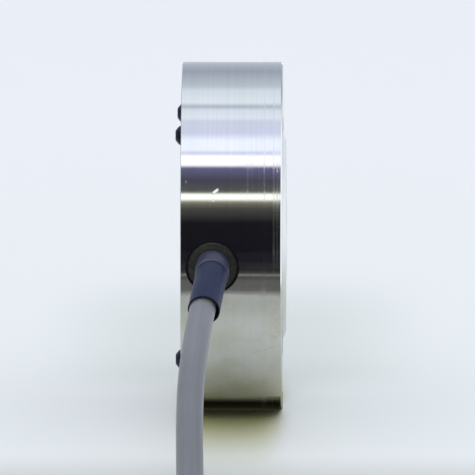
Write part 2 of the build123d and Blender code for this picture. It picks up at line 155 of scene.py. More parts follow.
# A Principled finish: fixed sockets, then those that the paint function varies over the surface
def finish(name, sockets, paint):
    material = bpy.data.materials.new(name)
    material.use_nodes = True
    graph = Graph(material.node_tree)
    shader = graph.add("ShaderNodeBsdfPrincipled", None, sockets)
    for key, signal in paint(graph).items():
        graph.feed(shader.socket.node.inputs[key], signal)
    graph.add("ShaderNodeOutputMaterial", None, {"Surface": shader})
    material.diffuse_color = (*sockets["Base Color"], 1.0)
    finishes[name] = material


# Turned steel; each mark is start, end and half width in millimetres, in x and z on the front of the rim
steel = {
    "colour": (0.57, 0.575, 0.545),
    "shade": (0.535, 0.54, 0.51),
    "light": (0.61, 0.61, 0.58),
    "roughness": 0.055,
    "bossRoughness": 0.33,
    "bossEdge": (24.3, 23.9),
    "lineScale": 9000.0,
    "lineStretch": 0.00006,
    "lineDepth": 6e-7,
    "broadScale": 1080.0,
    "stripeScale": 2400.0,
    "cloudScale": 90.0,
    "smudgeScale": 320.0,
    "filmScale": 130.0,
    "filmBelow": (0.0, -8.0),
    "patchScale": 160.0,
    "patchStretch": 0.3,
    "patchRight": (-11.0, -3.0),
    "stripeRoughness": 0.11,
    "haze": 0.045,
    "threadPitch": 1.5,
    "threadEdge": (7.9, 7.5),
    "threadHeight": 900.0,
    "markFront": (-20.0, -22.0),
    "flecks": (((-14.5, 17.25), (-15.65, 16.4), 0.4), ((-15.8, 14.85), (-15.3, 14.85), 0.25)),
    "scratches": (((-6.8, -20.9), (0.0, -18.6), 0.09),),
    "stains": (((-2.0, -8.5), (-2.0, -17.0), 1.3), ((-0.5, -11.2), (-0.7, -16.5), 1.0)),
    "dots": (((-21.8, 19.0), (-21.7, 18.7), 0.3), ((-1.1, 21.2), (-1.0, 21.0), 0.25)),
    # strength and colour of what lies on the steel, from the lowest coat up
    "coats": {
        "film": (0.55, (0.47, 0.48, 0.385)),
        "purple": (0.2, (0.6, 0.53, 0.66)),
        "green": (0.2, (0.52, 0.6, 0.54)),
        "stain": (0.45, (0.44, 0.37, 0.24)),
        "scratch": (0.5, (0.28, 0.28, 0.24)),
        "dot": (0.6, (0.7, 0.72, 0.78)),
        "fleck": (1.0, (1.0, 1.0, 0.98)),
    },
}


# 1 on the short marks of a list, 0 beside them
def markMask(axes, marks):
    x, y, z = axes
    mask = 0.0
    for start, end, width in marks:
        length = sqrt((end[0] - start[0]) ** 2 + (end[1] - start[1]) ** 2)
        alongX, alongZ = (end[0] - start[0]) / length, (end[1] - start[1]) / length
        fromX = x - start[0] * mm
        fromZ = z - start[1] * mm
        run = fromX * alongX + fromZ * alongZ
        side = abs(fromX * alongZ - fromZ * alongX)
        inside = run.fade(-width, width) * run.fade(length + width, length - width)
        mask = mask + inside * side.fade(width, 0.3 * width) * y.fade(*steel["markFront"])
    return mask


def paintSteel(graph):
    axes = graph.axes(graph.place())
    x, y, z = axes
    radius = (y * y + z * z).calc("SQRT")
    angle = z.calc("ARCTAN2", y)
    lines = graph.vector(x, radius, angle * steel["lineStretch"])
    fine = graph.noise(lines, steel["lineScale"], 3.0, 0.7)
    broad = graph.noise(lines, steel["broadScale"])
    stripe = graph.noise(lines, steel["stripeScale"], 2.0, 0.5)
    cloud = graph.noise(graph.place(), steel["cloudScale"])
    smudge = graph.noise(graph.place(), steel["smudgeScale"], 4.0, 0.7)

    fleck = markMask(axes, steel["flecks"]).clamped()
    scratch = markMask(axes, steel["scratches"])
    stain = markMask(axes, steel["stains"])
    dots = markMask(axes, steel["dots"])

    # faint coloured stripes, more of them to the right
    slow = graph.vector(x, y * steel["patchStretch"], z * steel["patchStretch"])
    patchy = graph.noise(slow, steel["patchScale"]) * 0.7 + x.fade(*steel["patchRight"]) * 0.29
    patchy = patchy.step(0.46, 0.66)
    purple = stripe.step(0.56, 0.66) * patchy
    green = stripe.step(0.44, 0.36) * patchy

    masks = {
        "film": graph.noise(graph.place(), steel["filmScale"]).step(0.42, 0.66) * z.fade(*steel["filmBelow"]),
        "purple": purple,
        "green": green,
        "stain": (stain * smudge.step(0.42, 0.7)).clamped(),
        "scratch": scratch,
        "dot": dots.clamped(),
        "fleck": fleck,
    }
    tone = (broad - 0.5) * 0.9 + (cloud - 0.5) * 0.7 + 0.5
    colour = graph.mix(tone.clamped(), steel["shade"], steel["light"])
    for name, (strength, tint) in steel["coats"].items():
        colour = graph.mix(masks[name] * strength, colour, tint)

    boss = x.fade(-0.1, 0.1) * radius.fade(*steel["bossEdge"])
    rough = (broad - 0.5) * 0.05 + (smudge - 0.5) * 0.03 + steel["roughness"]
    rough = rough + (fleck + scratch * 0.4 + dots * 0.5) * 0.5 + boss * steel["bossRoughness"]
    rough = rough + (purple + green) * steel["stripeRoughness"]
    turn = angle / (2 * pi) + x / (steel["threadPitch"] * mm)
    thread = abs(turn.calc("FRACT") - 0.5) * radius.fade(*steel["threadEdge"])
    height = fine * 0.6 + broad * 0.4 + thread * steel["threadHeight"]
    return {
        "Base Color": colour,
        "Metallic": 1.0 - (fleck + stain * 0.25 + (purple + green) * steel["haze"]).clamped(),
        "Roughness": rough.clamped(),
        "Normal": graph.bump(height, steel["lineDepth"]),
    }


sockets = {"Base Color": steel["colour"], "Metallic": 1.0, "Roughness": steel["roughness"]}
finish("turnedSteel", sockets, paintSteel)

cover = {
    "colour": (0.52, 0.525, 0.53),
    "dark": (0.44, 0.445, 0.45),
    "light": (0.6, 0.6, 0.61),
    "roughness": 0.2,
    "ringScale": 6500.0,
    "ringStretch": 0.00005,
    "ringDepth": 1.2e-6,
    "cloudScale": 70.0,
}


def paintCover(graph):
    x, y, z = graph.axes(graph.place())
    radius = (y * y + z * z).calc("SQRT")
    angle = z.calc("ARCTAN2", y)
    rings = graph.noise(graph.vector(x, radius, angle * cover["ringStretch"]), cover["ringScale"], 3.0, 0.65)
    cloud = graph.noise(graph.place(), cover["cloudScale"])
    return {
        "Base Color": graph.mix(cloud, cover["dark"], cover["light"]),
        "Roughness": (rings - 0.5) * 0.12 + (cloud - 0.5) * 0.08 + cover["roughness"],
        "Normal": graph.bump(rings, cover["ringDepth"]),
    }


sockets = {"Base Color": cover["colour"], "Metallic": 1.0, "Roughness": cover["roughness"]}
finish("facedSteel", sockets, paintCover)

# Grainy finishes: dark and light colour, metal, roughness, grain's scale and its depth in metres
grained = {
    "blackOxide": ((0.006, 0.008, 0.018), (0.024, 0.029, 0.054), 0.9, 0.3, 2600.0, 2e-6),
    "olivePlate": ((0.026, 0.027, 0.022), (0.068, 0.07, 0.058), 0.4, 0.42, 1500.0, 2e-6),
    "blackRubber": ((0.002, 0.002, 0.003), (0.007, 0.007, 0.009), 0.0, 0.6, 1800.0, 4e-6),
    "nylonBlack": ((0.01, 0.01, 0.011), (0.03, 0.03, 0.033), 0.0, 0.42, 900.0, 6e-6),
    "boardMask": ((0.012, 0.09, 0.04), (0.03, 0.16, 0.075), 0.0, 0.3, 700.0, 3e-6),
    "chipBlack": ((0.02, 0.02, 0.021), (0.05, 0.05, 0.05), 0.0, 0.5, 2500.0, 3e-6),
    "solderBright": ((0.5, 0.51, 0.53), (0.75, 0.76, 0.78), 1.0, 0.22, 900.0, 1.5e-5),
    "amberFoil": ((0.35, 0.18, 0.05), (0.6, 0.38, 0.14), 0.0, 0.28, 1100.0, 3e-6),
    "zincSteel": ((0.45, 0.46, 0.47), (0.68, 0.69, 0.7), 1.0, 0.3, 1400.0, 3e-6),
    "redPvc": ((0.36, 0.012, 0.012), (0.52, 0.03, 0.025), 0.0, 0.38, 1200.0, 4e-6),
    "blackPvc": ((0.01, 0.01, 0.011), (0.024, 0.024, 0.026), 0.0, 0.38, 1200.0, 4e-6),
    "greenPvc": ((0.012, 0.2, 0.04), (0.03, 0.3, 0.07), 0.0, 0.38, 1200.0, 4e-6),
    "whitePvc": ((0.68, 0.67, 0.63), (0.78, 0.77, 0.74), 0.0, 0.38, 1200.0, 4e-6),
    "tinnedStrand": ((0.4, 0.37, 0.33), (0.75, 0.73, 0.7), 1.0, 0.32, 4200.0, 3e-5),
}


def makeGrained(name, dark, light, metal, roughness, scale, depth):
    def paint(graph):
        grain = graph.noise(graph.place(), scale)
        cloud = graph.noise(graph.place(), scale * 0.07, 2.0, 0.5)
        return {
            "Base Color": graph.mix((grain * 0.5 + cloud * 0.5).step(0.3, 0.7), dark, light),
            "Roughness": ((grain - 0.5) * 0.2 + (cloud - 0.5) * 0.15 + roughness).clamped(),
            "Normal": graph.bump(grain, depth),
        }

    finish(name, {"Base Color": light, "Metallic": metal, "Roughness": roughness}, paint)


for name, look in grained.items():
    makeGrained(name, *look)

jacket = {
    "dark": (0.148, 0.155, 0.176),
    "light": (0.192, 0.2, 0.225),
    "rub": (0.25, 0.25, 0.26),
    # painted shade on the cable's right side
    "sideShade": (0.07, 0.075, 0.085),
    "shade": (0.06, 0.066, 0.075),
    "roughness": 0.45,
    "grainScale": 3200.0,
    "grainDepth": 1.2e-5,
    "cloudScale": 45.0,
    "rubScale": 420.0,
    "streakScale": 3.5,
    "streakStretch": 5.0,
    # where along the cable the painted shade on its right side and the painted shade further out begin and are full
    "sideShadeFrom": (-75.0, -88.0),
    "shadeFrom": (-70.0, -125.0),
}


def paintJacket(graph):
    grain = graph.noise(graph.place(), jacket["grainScale"])
    cloud = graph.noise(graph.place(), jacket["cloudScale"], 3.0, 0.55)
    rub = graph.noise(graph.place(), jacket["rubScale"], 4.0, 0.7)
    x, y, z = graph.axes(graph.place())
    nx, ny, nz = graph.axes(graph.add("ShaderNodeNewGeometry", output="Normal"))
    around = graph.vector(nx, nz, y * jacket["streakStretch"])
    drawn = graph.noise(around, jacket["streakScale"], 3.0, 0.65)
    tone = (cloud * 0.3 + grain * 0.2 + drawn * 0.5).step(0.3, 0.7)
    # painted shade: the cable's right side darker, from a little way out along it
    sideShade = nx.step(0.35, 0.8) * y.fade(*jacket["sideShadeFrom"])
    colour = graph.mix(tone, jacket["dark"], jacket["light"])
    colour = graph.mix(rub.step(0.62, 0.8) * 0.25, colour, jacket["rub"])
    colour = graph.mix(sideShade * 0.3, colour, jacket["sideShade"])
    colour = graph.mix(y.fade(*jacket["shadeFrom"]) * 0.28, colour, jacket["shade"])
    return {
        "Base Color": colour,
        "Roughness": (grain - 0.5) * 0.15 + (rub - 0.5) * 0.2 + jacket["roughness"],
        "Normal": graph.bump(grain * 0.5 + rub * 0.5, jacket["grainDepth"]),
    }


sockets = {"Base Color": jacket["light"], "Roughness": jacket["roughness"], "Sheen Weight": 0.1}
finish("greyJacket", sockets, paintJacket)

shrink = {
    "dark": (0.006, 0.012, 0.046),
    "light": (0.018, 0.027, 0.068),
    # painted highlight on the collar
    "collarHighlight": (0.085, 0.09, 0.13),
    # painted shade in the crease
    "creaseShade": (0.004, 0.005, 0.014),
    "roughness": 0.46,
    "specular": 0.14,
    "grainScale": 2400.0,
    "grainDepth": 2.5e-5,
    "cloudScale": 260.0,
    "drawnScale": 900.0,
    "drawnStretch": 0.1,
    "middle": -15.4,
    "highlightReach": (3.4, 0.2),
    "collarEnd": (-51.2, -49.8),
    "creaseStart": (-50.0, -50.7),
    "creaseEnd": (-52.0, -51.1),
}


def paintShrink(graph):
    grain = graph.noise(graph.place(), shrink["grainScale"])
    cloud = graph.noise(graph.place(), shrink["cloudScale"])
    x, y, z = graph.axes(graph.place())
    drawn = graph.noise(graph.vector(x, y * shrink["drawnStretch"], z), shrink["drawnScale"])
    # painted highlight: the collar lighter in blotches, lightest along its middle
    middle = abs(x - shrink["middle"] * mm).fade(*shrink["highlightReach"])
    collarHighlight = y.fade(*shrink["collarEnd"]) * (cloud.step(0.3, 0.75) * 0.5 + 0.1 + middle * 0.4)
    # painted shade along the crease
    creaseShade = y.fade(*shrink["creaseStart"]) * y.fade(*shrink["creaseEnd"])
    tone = (cloud * 0.4 + grain * 0.2 + drawn * 0.4).step(0.3, 0.7)
    colour = graph.mix(tone, shrink["dark"], shrink["light"])
    colour = graph.mix(collarHighlight, colour, shrink["collarHighlight"])
    return {
        "Base Color": graph.mix(creaseShade * 0.95, colour, shrink["creaseShade"]),
        "Roughness": (grain - 0.5) * 0.18 + (cloud - 0.5) * 0.16 + shrink["roughness"],
        "Normal": graph.bump(cloud * 0.7 + grain * 0.3, shrink["grainDepth"]),
    }


sockets = {
    "Base Color": shrink["light"],
    "Roughness": shrink["roughness"],
    "Specular IOR Level": shrink["specular"],
}
finish("slateShrink", sockets, paintShrink)
print("load cell: finishes made,", len(finishes))

# Finishes of the nodes that stay as they are
coreColours = ("red", "black", "green", "white")
nodeFinish = {
    "sensor_body": "turnedSteel",
    "front_membrane": "facedSteel",
    "rear_cover": "facedSteel",
    "cover_gasket": "blackRubber",
    "hub_seal_ring": "blackRubber",
    "gland_body": "olivePlate",
    "gland_seal": "blackRubber",
    "bridge_board": "boardMask",
    "board_screws": "zincSteel",
    "trim_resistors": "chipBlack",
    "solder_joints": "solderBright",
    "strain_gauges": "amberFoil",
    "gauge_leads": "amberFoil",
    "cable_inner": "greyJacket",
    "cable_tie": "nylonBlack",
    "end_sleeve": "slateShrink",
    "shield_drain": "tinnedStrand",
    "core_tips": "tinnedStrand",
}
for colour in coreColours:
    nodeFinish[f"inner_core_{colour}"] = f"{colour}Pvc"
    nodeFinish[f"lead_core_{colour}"] = f"{colour}Pvc"

for nodeName, finishName in nodeFinish.items():
    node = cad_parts[nodeName]
    if not node.material_slots:
        node.data.materials.append(finishes[finishName])
    for slot in node.material_slots:
        slot.material = finishes[finishName]
print("load cell: nodes dressed")


def addObject(name, data):
    piece = bpy.data.objects.new(name, data)
    bpy.context.collection.objects.link(piece)
    return piece


def meshPiece(name, vertices, faces, finishName):
    mesh = bpy.data.meshes.new(name)
    mesh.from_pydata([tuple(v) for v in vertices], [], faces)
    mesh.validate()
    mesh.materials.append(finishes[finishName])
    mesh.polygons.foreach_set("use_smooth", [True] * len(mesh.polygons))
    return addObject(name, mesh)


# Cable: how far across, past the stub's end and up the free run goes, in millimetres
cable = {
    "radius": 3.0,
    "length": 1.5,
    "exitAxis": -15.7,
    "stubEnd": 46.0,
    "curveSteps": 8,
    "bevelSteps": 5,
    "route": (
        (0.0, 0.0, 0.0),
        (0.0, 6.0, 0.0),
        (-0.9, 14.0, -1.8),
        (-2.1, 24.0, -5.0),
        (-3.2, 36.0, -9.4),
        (-4.1, 50.0, -15.2),
        (-4.2, 65.0, -21.6),
        (-3.9, 81.0, -27.9),
        (-3.5, 97.0, -33.3),
        (-3.4, 111.0, -36.4),
        (-3.8, 124.0, -36.4),
        (-3.8, 135.6, -36.4),
    ),
}
# Hank: ovals in two columns and three layers
hank = {
    "middle": 5.1,
    "near": 201.6,
    "far": 253.7,
    "outer": 24.6,
    "inner": 18.6,
    "layers": (-36.4, -30.4, -24.4),
    "foldPoints": 8,
    "legPoints": 3,
    # column and layer of each turn, then where on the near fold it shifts column and climbs
    "turns": (
        ("outer", 0, (0.6, 1.0), None),
        ("inner", 0, None, (0.0, 0.6)),
        ("inner", 1, (0.0, 0.35), None),
        ("outer", 1, None, (0.05, 0.4)),
        ("outer", 2, (0.0, 0.35), None),
    ),
    "lastTurn": ("inner", 2),
    "tailLength": 13.0,
    "tailShift": -0.4,
    "tailRise": 0.2,
}


def shareBetween(place, span):
    if span is None:
        return 0.0
    t = min(1.0, max(0.0, (place - span[0]) / (span[1] - span[0])))
    return t * t * (3 - 2 * t)


# Straight side of a turn: -1 is the side that runs out, 1 the one that comes back
def legPoints(side, radius, height):
    points = []
    for k in range(hank["legPoints"]):
        along = (hank["far"] - hank["near"]) * (k + 0.5) / hank["legPoints"]
        place = hank["near"] + along if side < 0 else hank["far"] - along
        points.append((hank["middle"] + side * radius, place, height))
    return points


# Half round at one end, from one radius and height to the next; the control points stand
# outside the arc, since the curve cuts inside them
def foldPoints(centre, start, before, after, shift=None, climb=None):
    count = hank["foldPoints"]
    swell = 1 / (0.75 + 0.25 * cos(pi / count))
    points = []
    for k in range(count):
        place = (k + 0.5) / count
        reach = (before[0] + (after[0] - before[0]) * shareBetween(place, shift)) * swell
        height = before[1] + (after[1] - before[1]) * shareBetween(place, climb)
        turn = start + pi * place
        points.append((hank["middle"] - reach * cos(turn), centre + reach * sin(turn), height))
    return points


def hankPoints():
    points = []
    follows = hank["turns"][1:] + (hank["lastTurn"],)
    for (column, layer, shift, climb), following in zip(hank["turns"], follows):
        before = (hank[column], hank["layers"][layer])
        after = (hank[following[0]], hank["layers"][following[1]])
        points += legPoints(-1, *before) + foldPoints(hank["far"], 0.0, before, before)
        points += legPoints(1, *before) + foldPoints(hank["near"], pi, before, after, shift, climb)
    points += legPoints(-1, *after) + foldPoints(hank["far"], 0.0, after, after)
    tailX = hank["middle"] + after[0] + hank["tailShift"]
    for share, rises in ((0.4, 1), (1.0, 2)):
        points.append((tailX, hank["far"] - share * hank["tailLength"], after[1] + rises * hank["tailRise"]))
    return points


def metres(point):
    return (point[0] * mm, -point[1] * mm, point[2] * mm)


def cordCurve(name, points, radius, finishName):
    curve = bpy.data.curves.new(name, "CURVE")
    curve.dimensions = "3D"
    curve.resolution_u = cable["curveSteps"]
    curve.bevel_depth = radius
    curve.bevel_resolution = cable["bevelSteps"]
    curve.use_fill_caps = True
    spline = curve.splines.new("NURBS")
    spline.points.add(len(points) - 1)
    for point, place in zip(spline.points, points):
        point.co = (*place, 1.0)
    spline.order_u = 3
    spline.use_endpoint_u = True
    curve.materials.append(finishes[finishName])
    return addObject(name, curve)


def evaluatedMesh(piece):
    return bpy.data.meshes.new_from_object(piece.evaluated_get(bpy.context.evaluated_depsgraph_get()))


# The points that a curve's middle line runs through
def curveLine(piece):
    bare = piece.data.copy()
    bare.bevel_depth = 0.0
    helper = addObject("helper", bare)
    mesh = evaluatedMesh(helper)
    line = [Vector(v.co) for v in mesh.vertices]
    bpy.data.objects.remove(helper)
    bpy.data.curves.remove(bare)
    bpy.data.meshes.remove(mesh)
    return line


def lineLength(line):
    return sum((b - a).length for a, b in zip(line, line[1:]))


routePoints = [
    metres((cable["exitAxis"] + across, cable["stubEnd"] + past, height)) for across, past, height in cable["route"]
]
cablePoints = routePoints + [metres(point) for point in hankPoints()]
cableRun = cordCurve("cableRun", cablePoints, cable["radius"] * mm, "greyJacket")
cableRun.visible_glossy = False  # the hank stays out of the polished rim
cableLine = curveLine(cableRun)
print("load cell: cable", round(lineLength(cableLine), 4), "m, points", len(cablePoints))
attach(cableRun, "root")
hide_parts("cable_lead", "cable_hank")

# Shrink sleeve: collar over the stub, a crease, then the close part and its open dark mouth
sleeve = {
    "start": 39.57,
    "length": 29.5,
    "bore": 3.38,
    "sides": 56,
    "rings": 64,
    # distance from the start and radius of the outside
    "profile": (
        (0.0, 3.84),
        (0.3, 3.88),
        (8.2, 3.86),
        (9.6, 3.84),
        (10.4, 3.78),
        (10.9, 3.6),
        (11.2, 3.5),
        (11.6, 3.58),
        (14.5, 3.62),
        (21.0, 3.6),
        (27.5, 3.6),
        (29.4, 3.62),
    ),
    # past the end, and off the outside's last radius, round the cut lip and back in
    "lip": ((0.04, -0.02), (0.05, -0.05), (0.0, -0.07), (-3.0, -0.08)),
    "inside": ((12.6, 3.42), (6.5, 3.46), (0.0, 3.46)),
    # the lining's two sides, off the same radius and off the bore
    "liningOut": ((-6.0, -0.09), (-0.02, -0.08), (0.03, -0.1)),
    "liningIn": ((0.02, 0.03), (-0.1, 0.0), (-6.0, -0.05)),
    # the cable lies against one side of the open end
    "mouthShift": (0.33, 0.0, 0.13),
    "mouthFrom": 15.0,
}


# The cable's middle line, led straight back into the stub, and the distance of each point
def pathPlaces(line, extra):
    points = [line[0] + Vector((0, extra * mm, 0))] + line
    places = [0.0]
    for a, b in zip(points, points[1:]):
        places.append(places[-1] + (b - a).length)
    return points, places


def pathAt(points, places, distance):
    index = 0
    while index < len(places) - 2 and places[index + 1] < distance:
        index += 1
    a, b = points[index], points[index + 1]
    share = (distance - places[index]) / (places[index + 1] - places[index])
    tangent = b - a
    if index > 0:
        before = (a - points[index - 1]).normalized()
        after = (points[min(len(points) - 1, index + 2)] - b).normalized()
        tangent = tangent.normalized() + 0.5 * (1 - share) * before + 0.5 * share * after
    return a.lerp(b, share), tangent.normalized()


def profileAt(profile, distance):
    for (a, ra), (b, rb) in zip(profile, profile[1:]):
        if distance <= b:
            return ra + (rb - ra) * shareBetween(distance, (a, b))
    return profile[-1][1]


def fixNormals(piece):
    shape = bmesh.new()
    shape.from_mesh(piece.data)
    bmesh.ops.remove_doubles(shape, verts=shape.verts, dist=1e-7)
    bmesh.ops.recalc_face_normals(shape, faces=shape.faces)
    shape.to_mesh(piece.data)
    shape.free()


# A closed wall: rings along the path, the last one joined to the first
def tubePiece(name, path, stations, finishName):
    sides = sleeve["sides"]
    vertices = []
    for distance, radius in stations:
        centre, tangent = pathAt(*path, distance * mm)
        shift = shareBetween(distance, (sleeve["mouthFrom"], sleeve["length"]))
        centre = centre + Vector(sleeve["mouthShift"]) * mm * shift
        side = Vector((1, 0, 0))
        side = (side - tangent * side.dot(tangent)).normalized()
        up = side.cross(tangent)
        for k in range(sides):
            angle = 2 * pi * k / sides
            vertices.append(centre + (side * cos(angle) + up * sin(angle)) * radius * mm)
    faces = []
    for ring in range(len(stations)):
        here = ring * sides
        there = (ring + 1) % len(stations) * sides
        for k in range(sides):
            beside = (k + 1) % sides
            faces.append((here + k, here + beside, there + beside, there + k))
    piece = meshPiece(name, vertices, faces, finishName)
    fixNormals(piece)
    return piece


def makeSleeve():
    path = pathPlaces(cableLine, cable["stubEnd"] - sleeve["start"])
    end = sleeve["length"]
    wall = sleeve["profile"][-1][1]
    outside = [end * k / sleeve["rings"] for k in range(sleeve["rings"] + 1)]
    stations = [(distance, profileAt(sleeve["profile"], distance)) for distance in outside]
    stations += [(end + past, wall + off) for past, off in sleeve["lip"]]
    stations += sleeve["inside"]
    lining = [(end + past, wall + off) for past, off in sleeve["liningOut"]]
    lining += [(end + past, sleeve["bore"] + off) for past, off in sleeve["liningIn"]]
    outer = tubePiece("shrinkSleeve", path, stations, "slateShrink")
    # the black lining is the sleeve's dark inner wall; where it shows at the cut end it is partly painted shade on
    # the cut edge
    inner = tubePiece("sleeveLining", path, lining, "blackRubber")
    return outer, inner


shrinkSleeve, sleeveLining = makeSleeve()
for piece in (shrinkSleeve, sleeveLining):
    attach(piece, "root")
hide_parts("cable_sleeve")
print("load cell: sleeve made")

# Two nylon ties round the hank's legs: rounded strap, head and the cut end of the strap
ties = {
    "centres": ((-16.7, 227.65), (26.5, 248.7)),
    "middle": -30.4,
    "inside": (12.14, 18.0),
    "corner": 2.9,
    "cornerPoints": 8,
    "strap": (3.9, 0.58),
    "strapEdge": 0.14,
    "head": (5.0, 4.5, 3.2),
    "headBevel": 0.5,
    "stub": (1.5, 2.6, 0.8),
    "stubBevel": 0.15,
    "stubOverlap": 0.3,
    "stubHeight": 0.45,
    "sharpAngle": 40.0,
}


# The strap's path round the legs, at some distance outside it
def strapLoop(offset):
    wide, high = ties["inside"][0] / 2 + offset, ties["inside"][1] / 2 + offset
    corner = ties["corner"] + offset
    loop = []
    for side, (cx, cz) in enumerate(((1, 1), (-1, 1), (-1, -1), (1, -1))):
        for k in range(ties["cornerPoints"] + 1):
            turn = pi / 2 * (side + k / ties["cornerPoints"])
            loop.append((cx * (wide - corner) + corner * cos(turn), cz * (high - corner) + corner * sin(turn)))
    return loop


# The strap's section: distance out of the loop and place across the strap
def strapSection():
    width, thickness = ties["strap"]
    edge = ties["strapEdge"]
    half = width / 2
    rising = [(0.0, edge - half), (0.0, half - edge), (edge, half), (thickness - edge, half)]
    return rising + [(thickness - offset, -across) for offset, across in rising]


def addBlock(shape, centre, size, bevel):
    made = bmesh.ops.create_cube(shape, size=1.0)["verts"]
    for v in made:
        v.co = Vector([(centre[i] + v.co[i] * size[i]) * mm for i in range(3)])
    # a dictionary keeps the edges in order, which a set doesn't
    edges = list(dict.fromkeys(e for v in made for e in v.link_edges))
    bmesh.ops.bevel(shape, geom=edges, offset=bevel * mm, segments=3, affect="EDGES", profile=0.5)


def makeTies():
    shape = bmesh.new()
    headLength, _, headHeight = ties["head"]
    top = ties["middle"] + ties["inside"][1] / 2 + ties["strap"][1]
    out = (headLength + ties["stub"][0]) / 2 - ties["stubOverlap"]
    for x, place in ties["centres"]:
        loops = []
        for offset, across in strapSection():
            ring = [((x + u) * mm, (across - place) * mm, (ties["middle"] + w) * mm) for u, w in strapLoop(offset)]
            loops.append([shape.verts.new(point) for point in ring])
        for a, b in zip(loops, loops[1:] + loops[:1]):
            for k in range(len(a)):
                beside = (k + 1) % len(a)
                shape.faces.new((a[k], a[beside], b[beside], b[k]))
        addBlock(shape, (x, -place, top + headHeight / 2), ties["head"], ties["headBevel"])
        stubCentre = (x + out, -place, top + ties["stubHeight"] * headHeight)
        addBlock(shape, stubCentre, ties["stub"], ties["stubBevel"])
    bmesh.ops.recalc_face_normals(shape, faces=shape.faces)
    mesh = bpy.data.meshes.new("hankTies")
    shape.to_mesh(mesh)
    shape.free()
    mesh.materials.append(finishes["nylonBlack"])
    mesh.set_sharp_from_angle(angle=radians(ties["sharpAngle"]))
    return addObject("hankTies", mesh)


hankTies = makeTies()
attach(hankTies, "root")
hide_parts("hank_ties")

# Button heads on the rear face, one at each point of a mesh
heads = {
    "face": -23.0,
    "pitchRadius": 30.0,
    "angles": (60, 120, 300),
    "sizes": {
        "Head Radius": 2.24,
        "Head Height": 1.38,
        "Flat Radius": 1.12,
        "Edge Height": 0.28,
        "Socket Width": 1.5,
        "Socket Depth": 0.8,
        "Shank Radius": 1.2,
        "Shank Length": 5.5,
    },
    "headSides": 40,
    "headRings": 12,
    "socketSides": 6,
    "shankSides": 24,
    "roundness": 1.45,
    "sharpAngle": 0.5,
    "seed": 7,
}


def buttonHeadTree():
    tree = bpy.data.node_groups.new("buttonHeads", "GeometryNodeTree")
    tree.interface.new_socket(name="Points", in_out="INPUT", socket_type="NodeSocketGeometry")
    for name in heads["sizes"]:
        tree.interface.new_socket(name=name, in_out="INPUT", socket_type="NodeSocketFloat")
    tree.interface.new_socket(name="Mesh", in_out="OUTPUT", socket_type="NodeSocketGeometry")
    graph = Graph(tree)
    points = graph.add("NodeGroupInput")
    size = {name: Signal(graph, points.socket.node.outputs[name]) for name in heads["sizes"]}

    def bar(sides, segments, radius, depth, lift):
        values = {"Vertices": sides, "Side Segments": segments, "Radius": radius, "Depth": depth}
        solid = graph.add("GeometryNodeMeshCylinder", {"fill_type": "NGON"}, values)
        moved = {"Geometry": solid, "Translation": graph.vector(0.0, 0.0, lift)}
        return graph.add("GeometryNodeTransform", None, moved)

    # a bar drawn in towards its flat top, with a hex socket cut into it
    height = size["Head Height"]
    blank = bar(heads["headSides"], heads["headRings"], size["Head Radius"], height, height * 0.5)
    x, y, z = graph.axes(graph.add("GeometryNodeInputPosition"))
    rise = ((z - size["Edge Height"]) / (height - size["Edge Height"])).clamped()
    flat = size["Flat Radius"] / size["Head Radius"]
    pull = 1.0 - (1.0 - flat) * rise.calc("POWER", heads["roundness"])
    drawnIn = {"Geometry": blank, "Position": graph.vector(x * pull, y * pull, z)}
    domed = graph.add("GeometryNodeSetPosition", None, drawnIn)
    socket = bar(heads["socketSides"], 1, size["Socket Width"] / sqrt(3), size["Socket Depth"] * 2.0, height)
    cut = graph.add("GeometryNodeMeshBoolean", {"operation": "DIFFERENCE"}, {"Mesh 1": domed, "Mesh 2": socket})
    shank = bar(heads["shankSides"], 1, size["Shank Radius"], size["Shank Length"], size["Shank Length"] * -0.5)
    screw = graph.add("GeometryNodeJoinGeometry", None, ([cut, shank],))

    # smooth but for the steep edges, then one screw at each point, turned at random
    smooth = graph.add("GeometryNodeSetShadeSmooth", None, {"Geometry": screw})
    steep = graph.add("GeometryNodeInputMeshEdgeAngle").calc("GREATER_THAN", heads["sharpAngle"])
    edges = {"Geometry": smooth, "Selection": steep, "Shade Smooth": False}
    sharp = graph.add("GeometryNodeSetShadeSmooth", {"domain": "EDGE"}, edges)
    laid = {"Points": points, "Instance": sharp, "Rotation": (0, -pi / 2, 0)}
    placed = graph.add("GeometryNodeInstanceOnPoints", None, laid)
    drawing = {"Max": pi / 3, "Seed": heads["seed"]}
    spin = graph.add("FunctionNodeRandomValue", {"data_type": "FLOAT"}, drawing, output=1)
    spun = {"Instances": placed, "Rotation": graph.vector(0.0, 0.0, spin)}
    turned = graph.add("GeometryNodeRotateInstances", None, spun)
    real = graph.add("GeometryNodeRealizeInstances", None, {"Geometry": turned})
    dressed = {"Geometry": real, "Material": finishes["blackOxide"]}
    graph.add("NodeGroupOutput", None, (graph.add("GeometryNodeSetMaterial", None, dressed),))
    return tree


# Runs a tree on loose points and keeps the result as a plain mesh
def bakeTree(name, vertices, tree, sizes):
    mesh = bpy.data.meshes.new(name + "Points")
    mesh.from_pydata(vertices, [], [])
    holder = addObject(name + "Holder", mesh)
    modifier = holder.modifiers.new("shape", "NODES")
    modifier.node_group = tree
    for socket in tree.interface.items_tree:
        if socket.in_out == "INPUT" and socket.name in sizes:
            modifier[socket.identifier] = sizes[socket.name] * mm
    baked = evaluatedMesh(holder)
    bpy.data.objects.remove(holder)
    bpy.data.meshes.remove(mesh)
    baked.name = name
    return addObject(name, baked)


def seats():
    radius = heads["pitchRadius"] * mm
    return [(heads["face"] * mm, -radius * cos(radians(a)), radius * sin(radians(a))) for a in heads["angles"]]


buttonHeads = bakeTree("buttonHeads", seats(), buttonHeadTree(), heads["sizes"])
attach(buttonHeads, "root")
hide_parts("cover_screws")
print("load cell: ties and heads made,", len(buttonHeads.data.polygons), "faces")

